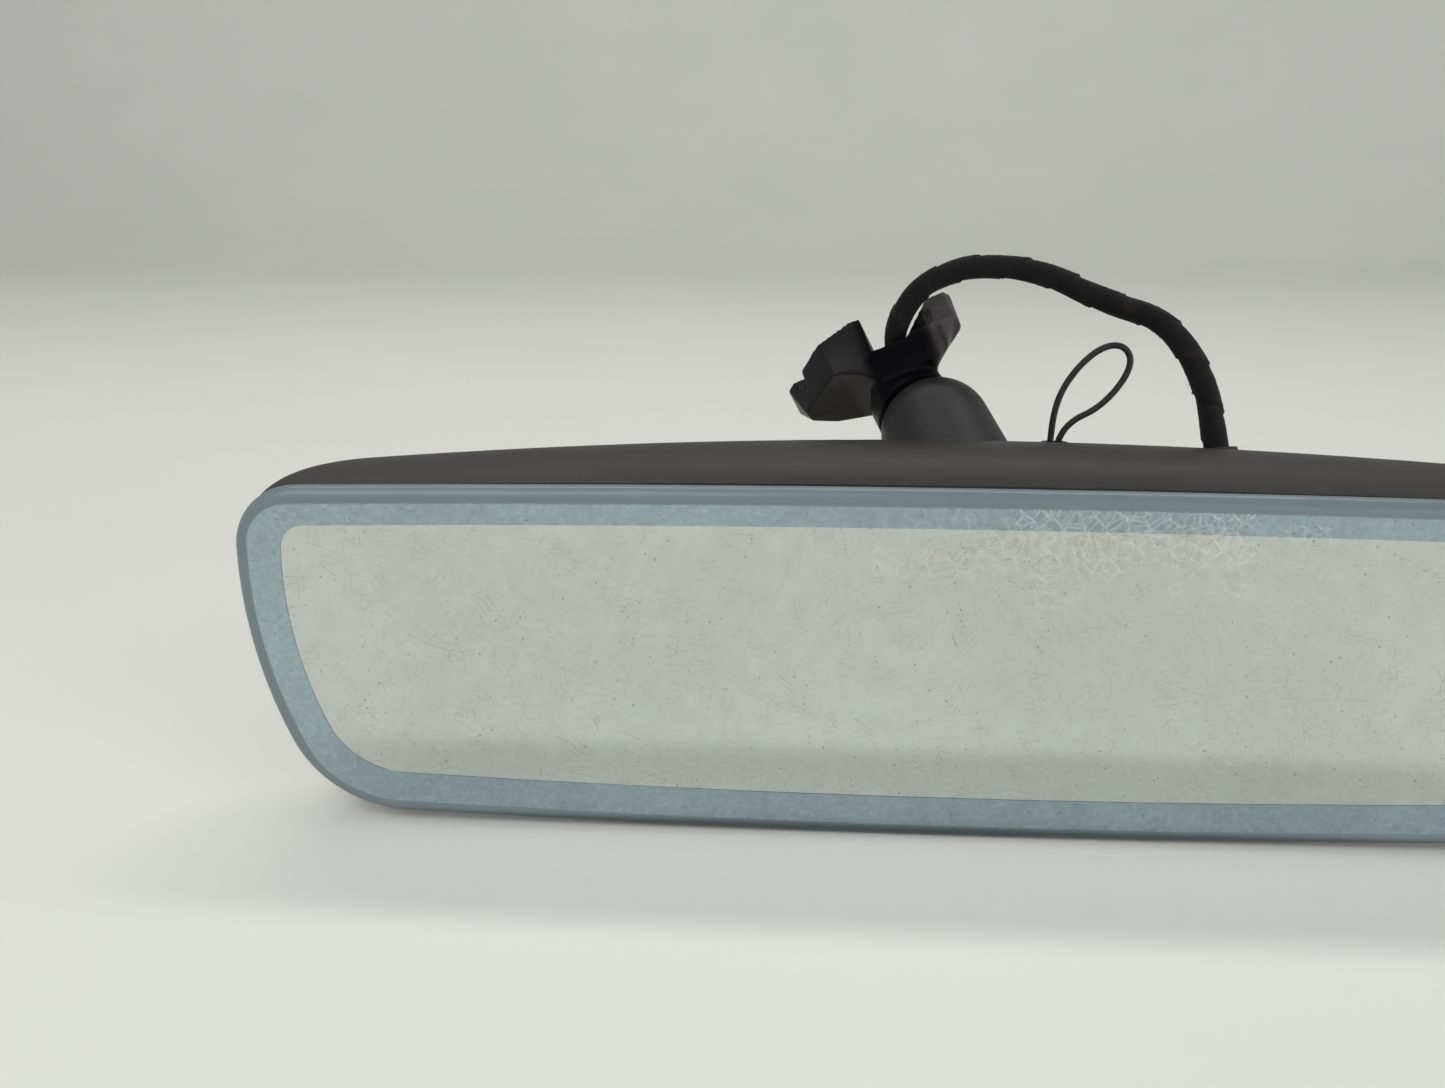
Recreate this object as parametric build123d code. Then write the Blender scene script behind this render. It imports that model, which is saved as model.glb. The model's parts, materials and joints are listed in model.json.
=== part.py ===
from build123d import *
import os
from math import cos, radians, sin, tan

# Interior rearview mirror with an electronic dimming cell, a ball-jointed windscreen foot and a taped
# harness.  Everything is drawn with the middle of the glass's front face as the working origin: X runs
# along the glass, Y away from the driver and Z up.  On export it moves so that the middle of the
# windscreen pad is the origin.  Millimetres throughout.

# ---- glass outline ------------------------------------------------------------------------------
HALF_TOP = 121.3          # half width where the side and top edges would meet
HALF_BOTTOM = 111.3       # half width where the side and bottom edges would meet
HALF_MIDDLE = 121.9       # half width at mid height
HALF_HEIGHT = 32.1
CROWN_TOP = 1.5           # how far the top edge falls from its middle to its ends
CROWN_BOTTOM = 2.4
CORNER_TOP = 11.5
CORNER_BOTTOM = 21.5
TOP_SHARE = 0.9           # sideways move of each corner for an even inset of the slanted outline
MIDDLE_SHARE = 1.02
BOTTOM_SHARE = 0.62

# ---- dimming cell, listed from the front --------------------------------------------------------
GLASS_THICK = 2.2
GLASS_GRIND = 2.1         # radius ground on the front edge of the glass
RING_THICK = 0.1
RING_OUTER = 0.4          # inset of the bright perimeter ring's outer edge
RING_INNER = 7.0
SEAL_THICK = 0.15
SEAL_OUTER = 3.2
SEAL_INNER = 4.5
MIRROR_THICK = 1.8
MIRROR_INSET = 3.0
PAD_THICK = 0.7
PAD_INSET = 6.0
CARRIER_THICK = 1.8
CARRIER_INSET = 3.3

# ---- rear casing ----------------------------------------------------------------------------------
# depth, half width at the top, at the bottom, top, bottom, crown of the top, of the bottom, corner radii
CASING_WALL = 2.0
CASING_SECTIONS = [
    (2.3, 120.5, 110.5, 31.3, -31.3, 1.5, 2.4, 10.8, 20.8),
    (8.5, 120.8, 110.3, 35.2, -32.0, 4.2, 2.6, 12.0, 21.5),
    (15.5, 116.5, 105.5, 36.4, -31.0, 5.6, 3.4, 17.0, 23.0),
    (21.0, 107.0, 97.0, 34.6, -27.5, 6.6, 4.4, 21.0, 23.0),
    (25.0, 93.0, 85.0, 29.5, -20.0, 7.2, 5.0, 19.0, 17.0),
]
CASING_INNER_SHIFT = (0.1, 0.1, 0.5, 1.2, 2.0)   # how much nearer the front each inner section lies
GROOVE_DEEP = 1.0         # shadow groove round the casing, just behind the glass
GROOVE_INSET = 1.9
CASING_BACK = CASING_SECTIONS[-1][0]

# ---- ball joint -------------------------------------------------------------------------------------
BALL = Vector(-2.6, 34.0, 33.5)                  # centre of the ball
STUD_DIR = Vector(-0.427, 0.824, 0.376).normalized()
DOME_DIR = Vector(-0.195, 0.73, 0.65).normalized()
MOUTH_DIR = Vector(-0.36, 0.81, 0.46).normalized()
BALL_R = 6.0
SHANK_R = 2.6
COLLAR_R = 3.6
FIT = 0.08                # running clearance between the nested spherical pieces
LINER_OUT = 7.0
SHELL_OUT = 7.8
DOME_R = 10.2
DOME_TAPER = 9.8          # half angle of the cone below the dome, degrees
DOME_BORE_R = 8.6
DOME_BASE_Y = 13.2
DOME_GAP = 0.3
SKIRT_GAP = 0.4

# ---- foot on the windscreen -------------------------------------------------------------------------
FOOT_X = Vector(-0.904, 0.071, -0.421)           # towards the large wing
FOOT_Z = Vector(-0.2, 0.8, 0.565)                # towards the windscreen
FOOT = Plane(origin=BALL, x_dir=FOOT_X, z_dir=FOOT_Z)
FLOOR_LOW = 11.5
FLOOR_TOP = 15.4
WING_LOW = 14.5
WING_TOP = 22.0
PAD_PROUD = 0.3
PAD_DEEP = 0.6
CHANNEL_LEFT = 5.8
CHANNEL_RIGHT = -6.9
WEB_LOW = 9.2             # web between the ear and the floor, along the channel
WEB_HIGH = 11.0
WEB_HOLLOW = 10.0
PAD_MIDDLE = FOOT.from_local_coords(Vector(15.0, -1.0, WING_TOP + PAD_PROUD))

# ---- wires --------------------------------------------------------------------------------------------
HARNESS_D = 4.1
LOOP_D = 1.1
CABLE_LINE_X = 3.0        # the harness's line along the foot's channel
CABLE_LINE_Z = 17.9
CLIP_LONG = 2.2
PLUG_TOP = Vector(-1.6, 61.6, 19.6)

# ---- electronics --------------------------------------------------------------------------------------
BOARD = (32.0, 98.0, -8.0, 22.0)                 # low x, high x, low z, high z
BOARD_FRONT = 9.5
BOARD_THICK = 1.6
PLATE = (-22.0, 26.0, -14.0, 29.0)
PLATE_FRONT = 12.2
SENSOR_X = 62.0
SENSOR_Z = 7.0
AMBIENT_Z = 14.0
CASING_SCREW_X = 60.0
CASING_SCREW_Z = -13.4
BOSS_END = 18.0           # depth where the carrier's long posts meet the casing's bosses
SCREW_SEAT = 23.4

os.makedirs("parts", exist_ok=True)
nodes = {}


def at_depth(y):
    """Drawing plane across the mirror at a depth behind the front of the glass."""
    return Plane.XZ.offset(-y)


def slab(face, y_front, y_back):
    """Solid of a flat drawing between two depths."""
    return extrude(at_depth(y_front) * face, -(y_back - y_front))


def outline(half_top, half_bottom, top, bottom, crown_top, crown_bottom, r_top, r_bottom, bulge):
    """Rounded trapezoid with crowned edges, wider at the top."""
    low_z = bottom + crown_bottom
    high_z = top - crown_top
    arcs = [
        ThreePointArc((-half_top, high_z), (0, top), (half_top, high_z)),
        ThreePointArc((half_top, high_z), (half_top + bulge, 0), (half_bottom, low_z)),
        ThreePointArc((half_bottom, low_z), (0, bottom), (-half_bottom, low_z)),
        ThreePointArc((-half_bottom, low_z), (-half_top - bulge, 0), (-half_top, high_z)),
    ]
    face = make_face(arcs)
    face = fillet(face.vertices().group_by(Axis.Y)[-1], r_top)
    return fillet(face.vertices().group_by(Axis.Y)[0], r_bottom)


def pane(inset):
    """The glass outline, drawn smaller all round by an inset."""
    half_top = HALF_TOP - TOP_SHARE * inset
    middle = HALF_MIDDLE - MIDDLE_SHARE * inset
    return outline(half_top, HALF_BOTTOM - BOTTOM_SHARE * inset, HALF_HEIGHT - inset,
                   inset - HALF_HEIGHT, CROWN_TOP, CROWN_BOTTOM, CORNER_TOP - inset,
                   CORNER_BOTTOM - inset, middle - half_top)


def rod(start, direction, radius, low, high):
    """Cylinder along a direction, between two distances from its start."""
    plane = Plane(origin=start + direction * low, z_dir=direction)
    return extrude(plane * Circle(radius), high - low)


def deep_rod(x, z, radius, y_front, y_back):
    return rod(Vector(x, 0, z), Vector(0, 1, 0), radius, y_front, y_back)


def cone_from_ball(direction, half_angle, length):
    """Cone with its point at the ball's centre."""
    plane = Plane(origin=BALL, z_dir=direction)
    point = (Align.CENTER, Align.CENTER, Align.MIN)
    return plane * Cone(0.001, length * tan(radians(half_angle)), length, align=point)


def box(x_low, x_high, y_low, y_high, z_low, z_high):
    size = (x_high - x_low, y_high - y_low, z_high - z_low)
    return Pos(x_low, y_low, z_low) * Box(*size, align=(Align.MIN, Align.MIN, Align.MIN))


def ball(radius):
    return Pos(*BALL) * Sphere(radius)


# ---- dimming cell --------------------------------------------------------------------------------------
def cell():
    back = GLASS_THICK
    front_glass = slab(pane(0), 0, back)
    rim = front_glass.faces().sort_by(Axis.Y)[0].edges()
    nodes["front_glass"] = fillet(rim, GLASS_GRIND)
    ring_back = back + RING_THICK
    nodes["chrome_ring"] = slab(pane(RING_OUTER) - pane(RING_INNER), back, ring_back)
    seal_back = ring_back + SEAL_THICK
    nodes["cell_seal"] = slab(pane(SEAL_OUTER) - pane(SEAL_INNER), ring_back, seal_back)
    nodes["dimming_gel"] = slab(pane(SEAL_INNER), ring_back, seal_back)
    mirror_back = seal_back + MIRROR_THICK
    nodes["mirror_element"] = slab(pane(MIRROR_INSET), seal_back, mirror_back)
    window = deep_rod(SENSOR_X, SENSOR_Z, 2.4, mirror_back, mirror_back + PAD_THICK)
    nodes["cell_pad"] = slab(pane(PAD_INSET), mirror_back, mirror_back + PAD_THICK) - window
    return mirror_back + PAD_THICK


def corners(area, margin):
    x_low, x_high, z_low, z_high = area
    return [(x, z) for x in (x_low + margin, x_high - margin) for z in (z_low + margin, z_high - margin)]


def carrier(front):
    """Moulded plate behind the cell, with the posts for the board, the steel plate and the casing."""
    back = front + CARRIER_THICK
    plate = slab(pane(CARRIER_INSET), front, back)
    for x, z in corners(BOARD, 4.0):
        plate += deep_rod(x, z, 2.6, back, BOARD_FRONT)
        plate -= deep_rod(x, z, 0.9, front + 0.8, BOARD_FRONT)
    for x, z in corners(PLATE, 4.0):
        plate += deep_rod(x, z, 3.2, back, PLATE_FRONT)
        plate -= deep_rod(x, z, 1.25, back, PLATE_FRONT)
    for x in (-CASING_SCREW_X, CASING_SCREW_X):
        plate += deep_rod(x, CASING_SCREW_Z, 3.4, back, BOSS_END)
        plate -= deep_rod(x, CASING_SCREW_Z, 1.25, BOSS_END - 7.0, BOSS_END)
    plate -= deep_rod(SENSOR_X, SENSOR_Z, 2.4, front, back)
    nodes["carrier_plate"] = plate
    return back


def screw(x, z, y_head, direction, head_r, head_h, shank_r, length):
    """Pan-head screw along Y with a cross recess; direction is +1 where the shank points away."""
    shank = sorted((y_head, y_head + direction * length))
    head = sorted((y_head, y_head - direction * head_h))
    body = deep_rod(x, z, shank_r, *shank) + deep_rod(x, z, head_r, *head)
    cross_depth = 0.55 * head_h
    outer = y_head - direction * head_h
    cross = sorted((outer, outer + direction * cross_depth))
    arm = 0.62 * head_r
    body -= box(x - arm, x + arm, *cross, z - 0.25, z + 0.25)
    return body - box(x - 0.25, x + 0.25, *cross, z - arm, z + arm)


# ---- electronics ---------------------------------------------------------------------------------------
def electronics(carrier_front):
    x_low, x_high, z_low, z_high = BOARD
    back = BOARD_FRONT + BOARD_THICK
    board = box(x_low, x_high, BOARD_FRONT, back, z_low, z_high)
    for x, z in corners(BOARD, 4.0):
        board -= deep_rod(x, z, 1.15, BOARD_FRONT, back)
    nodes["circuit_board"] = board
    nodes["board_screws"] = Compound([
        screw(x, z, back, -1, 2.0, 1.2, 0.9, 4.0) for x, z in corners(BOARD, 4.0)
    ])
    chips = [(74, 84, 7, 15, 1.8), (46, 52, -5, 1, 1.5), (68, 71, -4, -1, 2.6), (76, 79, -4, -1, 2.6),
             (83, 87, -4, 2, 3.2), (56, 59, -5, -3, 1.0)]
    nodes["board_components"] = Compound([
        box(x0, x1, back, back + high, z0, z1) for x0, x1, z0, z1, high in chips
    ])
    socket = box(38, 52, back, back + 6.5, 6, 16)
    socket -= box(39.2, 50.8, back + 1.5, back + 6.5, 7.2, 14.8)
    nodes["board_socket"] = socket
    nodes["board_plug"] = box(39.4, 50.6, back + 1.6, back + 9.0, 7.4, 14.6)
    nodes["light_guide"] = deep_rod(SENSOR_X, SENSOR_Z, 2.1, carrier_front - PAD_THICK, BOARD_FRONT)
    low = SENSOR_Z - 2.5
    nodes["glare_sensor"] = box(SENSOR_X - 2.5, SENSOR_X + 2.5, back, back + 1.1, low, low + 5.0)
    nodes["ambient_sensor"] = deep_rod(SENSOR_X, AMBIENT_Z, 2.5, back, back + 5.0)


# ---- rear casing -----------------------------------------------------------------------------------------
def casing_loft(shrink, shifts):
    sections = []
    for row, shift in zip(CASING_SECTIONS, shifts):
        depth, top_w, low_w, top, bottom, crown_t, crown_b, r_t, r_b = row
        face = outline(top_w - shrink, low_w - shrink, top - shrink, bottom + shrink,
                       crown_t, crown_b, r_t - shrink, r_b - shrink, 0.6)
        sections.append(at_depth(depth - shift) * face)
    return loft(sections)


def dome_cone(grow):
    """Round-ended cone that carries the socket, from inside the casing to past the ball."""
    up = DOME_DIR
    taper = radians(DOME_TAPER)
    radius = DOME_R + grow
    tangent = radius * sin(taper)
    length = 31.0 + tangent
    low = Plane(origin=BALL + up * (tangent - length), z_dir=up)
    tip = radius * cos(taper)
    base = tip + length * tan(taper)
    cone = low * Cone(base, tip, length, align=(Align.CENTER, Align.CENTER, Align.MIN))
    return cone + ball(radius)


def rear_casing():
    outer = casing_loft(0, (0, 0, 0, 0, 0))
    inner = casing_loft(CASING_WALL, CASING_INNER_SHIFT)
    shell = outer - inner
    front = CASING_SECTIONS[0][0]
    shell -= slab(pane(-8.0) - pane(GROOVE_INSET), front, front + GROOVE_DEEP)
    shell -= dome_cone(DOME_GAP)
    exit_point, exit_dir = harness_exit()
    shell -= rod(exit_point, exit_dir, 3.3, -8.0, 6.0)
    shell -= loop_slot(0.0)
    shell -= deep_rod(SENSOR_X, AMBIENT_Z, 4.0, CASING_BACK - 4.0, CASING_BACK + 1.0)
    for x in (-CASING_SCREW_X, CASING_SCREW_X):
        shell += deep_rod(x, CASING_SCREW_Z, 4.4, BOSS_END, SCREW_SEAT)
        shell -= deep_rod(x, CASING_SCREW_Z, 1.6, BOSS_END, CASING_BACK)
        shell -= deep_rod(x, CASING_SCREW_Z, 3.3, SCREW_SEAT, CASING_BACK)
    nodes["rear_casing"] = shell
    nodes["casing_screws"] = Compound([
        screw(x, CASING_SCREW_Z, SCREW_SEAT, -1, 2.8, 1.4, 1.2, 10.0)
        for x in (-CASING_SCREW_X, CASING_SCREW_X)
    ])
    lens = deep_rod(SENSOR_X, AMBIENT_Z, 3.95, CASING_BACK - 2.6, CASING_BACK)
    cap = Pos(SENSOR_X, CASING_BACK - 8.0, AMBIENT_Z) * Sphere(8.9)
    cap &= deep_rod(SENSOR_X, AMBIENT_Z, 3.95, CASING_BACK, CASING_BACK + 2.0)
    nodes["ambient_lens"] = lens + cap


def harness_exit():
    return Vector(44.0, 21.6, 33.9), Vector(-0.09, 0.36, 0.93).normalized()


def loop_slot(shrink):
    """Small slot through the casing's rear shoulder, where the thin wire loop comes out."""
    plane = Plane(origin=Vector(15.9, 20.1, 34.6), x_dir=Vector(1, 0, 0), z_dir=Vector(0, 0.3, 0.95))
    return extrude(plane * SlotOverall(4.6 - shrink, 2.4 - shrink), 3.0, both=True)


def grommets():
    point, direction = harness_exit()
    bush = rod(point, direction, 3.3, -4.6, 0.0) + rod(point, direction, 3.45, -0.8, 0.3)
    bush -= nodes["rear_casing"]
    nodes["harness_grommet"] = bush - rod(point, direction, HARNESS_D / 2, -5.0, 2.0)
    plug = loop_slot(0.04) & box(10, 22, 15, 25, 32.0, 35.3)
    nodes["loop_grommet"] = plug


# ---- ball joint ------------------------------------------------------------------------------------------
def nested_shell(inner, outer, mouth_dir, mouth, back):
    """Part of a hollow sphere round the ball, open at the stud and at the far side."""
    shell = ball(outer) - ball(inner)
    shell -= cone_from_ball(mouth_dir, mouth, 12.0)
    return shell - cone_from_ball(mouth_dir * -1, back, 12.0)


def socket_dome():
    dome = dome_cone(0)
    dome -= box(-60, 60, -40, DOME_BASE_Y, -60, 60)
    dome -= ball(SHELL_OUT + FIT)
    dome -= cone_from_ball(MOUTH_DIR, 52.0, 14.0)
    dome -= rod(BALL, DOME_DIR, DOME_BORE_R, -40.0, 0.0)
    for x, z in boss_points():
        dome -= deep_rod(x, z, 1.3, DOME_BASE_Y, DOME_BASE_Y + 6.0)
    nodes["socket_dome"] = dome
    cup = rod(BALL, DOME_DIR, DOME_BORE_R - 0.1, -9.5, 0.0)
    nodes["socket_cup"] = cup - ball(SHELL_OUT + FIT)
    spring = rod(BALL, DOME_DIR, 8.2, -10.5, -9.5) - rod(BALL, DOME_DIR, 5.0, -10.5, -9.5)
    nodes["preload_spring"] = spring
    plug = rod(BALL, DOME_DIR, DOME_BORE_R, -14.0, -10.5)
    hexagon = Plane(origin=BALL - DOME_DIR * 14.0, z_dir=DOME_DIR) * RegularPolygon(4.0, 6)
    nodes["socket_retainer"] = plug - extrude(hexagon, 2.5)


def boss_points():
    """Screws that hold the dome to the steel plate, in the thick of the dome's base."""
    middle_x = BALL.X - DOME_DIR.X / DOME_DIR.Y * (BALL.Y - DOME_BASE_Y)
    middle_z = BALL.Z - DOME_DIR.Z / DOME_DIR.Y * (BALL.Y - DOME_BASE_Y)
    return [(middle_x - 11.8, middle_z), (middle_x + 11.8, middle_z), (middle_x, middle_z - 15.5)]


def steel_plate():
    x_low, x_high, z_low, z_high = PLATE
    plate = box(x_low, x_high, PLATE_FRONT, DOME_BASE_Y, z_low, z_high)
    plate = fillet(plate.edges().filter_by(Axis.Y), 4.0)
    for x, z in boss_points() + corners(PLATE, 4.0):
        plate -= deep_rod(x, z, 1.5, PLATE_FRONT, DOME_BASE_Y)
    nodes["reinforcement_plate"] = plate
    nodes["dome_screws"] = Compound([
        screw(x, z, PLATE_FRONT, 1, 2.8, 1.6, 1.3, 6.5) for x, z in boss_points()
    ])
    nodes["plate_screws"] = Compound([
        screw(x, z, DOME_BASE_Y, -1, 2.6, 1.5, 1.2, 5.0) for x, z in corners(PLATE, 4.0)
    ])


def ball_stud():
    stud = ball(BALL_R) + rod(BALL, STUD_DIR, SHANK_R, 4.0, 14.0)
    nodes["ball_stud"] = stud + rod(BALL, STUD_DIR, COLLAR_R, 12.2, 13.0)
    nodes["ball_liner"] = nested_shell(BALL_R + FIT, LINER_OUT, STUD_DIR, 32.0, 35.0)
    nodes["friction_shell"] = nested_shell(LINER_OUT + FIT, SHELL_OUT, STUD_DIR, 40.0, 30.0)


# ---- foot -------------------------------------------------------------------------------------------------
def prism(low_points, low_z, high_points, high_z):
    """Faceted block between two outlines in the foot's own plane."""
    low = FOOT.offset(low_z) * make_face(Polyline(*low_points, close=True))
    high = FOOT.offset(high_z) * make_face(Polyline(*high_points, close=True))
    return loft([low, high], ruled=True)


def foot_box(x_low, x_high, y_low, y_high, z_low, z_high):
    size = (x_high - x_low, y_high - y_low, z_high - z_low)
    return FOOT * (Pos(x_low, y_low, z_low) * Box(*size, align=(Align.MIN, Align.MIN, Align.MIN)))


def gusset():
    """Triangular web between the ear and the floor, hollowed on its outer side round one small rib."""
    low = Plane(origin=FOOT.from_local_coords(Vector(0, WEB_LOW, 0)), x_dir=FOOT.x_dir, z_dir=FOOT.y_dir)
    web = Polyline((-8.5, -21.9), (-6.9, -21.9), (-1.4, -15.2), (-1.4, -14.2), (-8.5, -14.2), close=True)
    hollow = Polyline((-6.7, -20.0), (-3.4, -16.0), (-6.7, -16.0), close=True)
    solid = extrude(low * make_face(web), WEB_HIGH - WEB_LOW)
    solid -= extrude(low.offset(WEB_HOLLOW - WEB_LOW) * make_face(hollow), WEB_HIGH - WEB_HOLLOW)
    return solid + foot_box(-5.8, -5.2, WEB_HOLLOW - 0.1, WEB_HIGH - 0.2, 15.8, 18.6)


def mount_bracket():
    wing = prism(
        [(CHANNEL_LEFT, 8.4), (7.9, 8.6), (13.9, 9.4), (18.5, 5.8),
         (22.4, 2.2), (21.9, -0.5), (17.6, -3.6), (CHANNEL_LEFT, -8.0)], WING_LOW,
        [(CHANNEL_LEFT, 13.4), (8.0, 13.4), (15.1, 11.2), (20.5, 6.2),
         (24.7, 2.4), (25.1, -5.5), (19.5, -12.0), (CHANNEL_LEFT, -12.0)], WING_TOP)
    wing -= foot_box(20.3, 27.0, 3.9, 8.0, 18.0, 23.0)
    ear = prism(
        [(CHANNEL_RIGHT, 11.0), (-10.8, 11.0), (-11.2, 9.5), (-11.2, 8.0),
         (-10.8, 7.0), (-9.0, 5.0), (CHANNEL_RIGHT, 3.0)], FLOOR_TOP - 0.5,
        [(CHANNEL_RIGHT, 10.9), (-10.4, 11.0), (-11.3, 9.5), (-11.3, 1.1),
         (-10.9, -0.8), (-9.0, -2.4), (CHANNEL_RIGHT, -4.0)], WING_TOP)
    ear -= foot_box(-8.4, CHANNEL_RIGHT, 3.0, 9.2, 16.4, 20.6)
    floor = prism(
        [(-8.0, 8.8), (CHANNEL_LEFT, 8.8), (6.4, 7.5), (6.4, -6.5),
         (-1.0, -6.5), (-2.7, -1.0), (-3.4, 2.0), (-5.6, 5.0)], FLOOR_LOW,
        [(-10.8, 11.2), (CHANNEL_LEFT, 11.4), (7.4, 10.0), (7.4, -12.0),
         (-2.2, -12.0), (-3.0, -3.0), (-5.6, 1.5), (-9.0, 4.5)], FLOOR_TOP)
    neck_low = Plane(origin=BALL + STUD_DIR * 7.6, z_dir=STUD_DIR)
    neck = neck_low * Cone(8.0, 6.9, 6.4, align=(Align.CENTER, Align.CENTER, Align.MIN))
    bracket = wing + floor + ear + neck + gusset()
    bracket -= ball(DOME_R + SKIRT_GAP)
    bracket -= rod(BALL, STUD_DIR, SHANK_R, 4.0, 14.0) + rod(BALL, STUD_DIR, COLLAR_R, 12.2, 13.0)
    pads = pad_solids(WING_TOP - PAD_DEEP, WING_TOP + 1.0)
    nodes["mount_bracket"] = bracket - pads[0] - pads[1]
    nodes["windscreen_pads"] = Compound(pad_solids(WING_TOP - PAD_DEEP, WING_TOP + PAD_PROUD))


def pad_solids(low, high):
    wing = [(8.4, 10.6), (14.6, 8.4), (21.6, 1.8), (22.2, -4.8), (18.4, -9.6), (8.4, -9.6)]
    ear = [(-7.9, 9.4), (-10.1, 9.4), (-10.1, 0.4), (-7.9, -1.4)]
    return [prism(points, low, points, high) for points in (wing, ear)]


# ---- wires ---------------------------------------------------------------------------------------------------
def channel_point(y, aside=0.0, above=0.0):
    """Point near the harness's line along the foot's channel."""
    return FOOT.from_local_coords(Vector(CABLE_LINE_X + aside, y, CABLE_LINE_Z + above))


def harness_route():
    point, direction = harness_exit()
    return [
        point - direction * 4.6,
        point + direction * 6.5,
        Vector(41.0, 27.4, 47.6),
        Vector(35.6, 31.5, 55.0),
        Vector(26.0, 36.4, 57.4),
        Vector(15.5, 39.6, 62.4),
        Vector(5.0, 41.0, 63.2),
        Vector(-1.8, 41.0, 61.8),
        Vector(-7.4, 41.2, 58.2),
        Vector(-10.2, 42.2, 52.2),
        channel_point(5.0, -1.0, 0.3),
        channel_point(-4.0),
        channel_point(-17.5),
        PLUG_TOP + Vector(0, 0, 5.8),
        PLUG_TOP,
    ]


def loop_route():
    return [
        Vector(15.1, 20.0, 33.4),
        Vector(15.0, 20.3, 38.8),
        Vector(16.1, 20.8, 44.0),
        Vector(19.0, 21.4, 48.6),
        Vector(22.8, 21.8, 51.8),
        Vector(26.2, 21.9, 52.0),
        Vector(28.0, 21.7, 49.2),
        Vector(26.0, 21.2, 44.8),
        Vector(22.4, 20.8, 41.0),
        Vector(18.4, 20.4, 39.2),
        Vector(16.2, 20.1, 35.8),
        Vector(16.1, 20.1, 33.4),
    ]


def bend_radii(points):
    """The largest arc that each corner's two runs leave room for."""
    radii = []
    for before, corner, after in zip(points, points[1:], points[2:]):
        first = corner - before
        second = after - corner
        turn = radians(first.get_angle(second))
        radii.append(0.45 * min(first.length, second.length) / tan(turn / 2))
    return radii


def tube_path(points):
    return FilletPolyline(*points, radius=bend_radii(points))


def tube(path, diameter):
    start = Plane(origin=path @ 0, z_dir=path % 0)
    return sweep(start * Circle(diameter / 2), path=path)


def report_tube(name, path, solid, diameter, radii):
    expected = path.length * 3.141592653589793 * diameter ** 2 / 4
    sizes = " ".join(f"{radius:.1f}" for radius in radii)
    print(f"{name}: length {path.length:.1f}, volume ratio {solid.volume / expected:.4f}, radii {sizes}")


def harness():
    """One taped harness, as three lengths that meet face to face where the three hinges bend it."""
    points = harness_route()
    path = tube_path(points)
    whole = tube(path, HARNESS_D)
    report_tube("harness", path, whole, HARNESS_D, bend_radii(points))
    cuts = [0, 0.28, 0.55, 1]
    names = ("harness_at_casing", "harness_middle", "harness_at_foot")
    for name, low, high in zip(names, cuts, cuts[1:]):
        nodes[name] = tube(path.trim(low, high), HARNESS_D)


def loop_wire():
    points = loop_route()
    path = tube_path(points)
    nodes["loop_wire"] = tube(path, LOOP_D)
    report_tube("loop wire", path, nodes["loop_wire"], LOOP_D, bend_radii(points))
    nodes["loop_grommet"] -= nodes["loop_wire"]


def harness_end():
    """Clip under the foot, and the plug that hangs from it with its latch and contacts."""
    line = Plane(origin=channel_point(-12.0), x_dir=FOOT.x_dir, z_dir=FOOT.y_dir * -1)
    block = extrude(line * RectangleRounded(9.0, 6.4, 1.4), CLIP_LONG)
    nodes["harness_clip"] = block - extrude(line * Circle(HARNESS_D / 2), CLIP_LONG)
    end = harness_route()[-1]
    top = end.Z
    plug = box(end.X - 7.0, end.X + 7.0, end.Y - 4.0, end.Y + 4.0, top - 17.0, top)
    plug = fillet(plug.edges().filter_by(Axis.Z), 1.0)
    plug -= box(end.X - 5.8, end.X + 5.8, end.Y - 2.8, end.Y + 2.8, top - 17.0, top - 8.0)
    nodes["harness_plug"] = plug
    latch = box(end.X - 2.5, end.X + 2.5, end.Y + 4.0, end.Y + 5.6, top - 14.0, top - 2.0)
    nodes["plug_latch"] = latch - box(end.X - 3, end.X + 3, end.Y + 4.0, end.Y + 4.8, top - 14.0, top - 5.0)
    pins = [(x, y) for x in (-4.0, -2.0, 0.0, 2.0, 4.0) for y in (-1.3, 1.3)]
    nodes["plug_contacts"] = Compound([
        box(end.X + x - 0.35, end.X + x + 0.35, end.Y + y - 0.35, end.Y + y + 0.35, top - 10.4, top - 8.0)
        for x, y in pins
    ])


carrier_front = cell()
carrier(carrier_front)
electronics(carrier_front)
rear_casing()
grommets()
socket_dome()
steel_plate()
ball_stud()
mount_bracket()
harness()
loop_wire()
harness_end()

for node_name, shape in nodes.items():
    export_step(Pos(*(PAD_MIDDLE * -1)) * shape, f"parts/{node_name}.step")
print("origin in glass coordinates", PAD_MIDDLE)
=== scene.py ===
"""Looks of an interior rearview mirror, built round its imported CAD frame.  Everything is in metres."""

import json
import random
from math import cos, pi, radians, sin

import bmesh
import bpy
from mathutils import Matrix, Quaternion, Vector, noise


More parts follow.
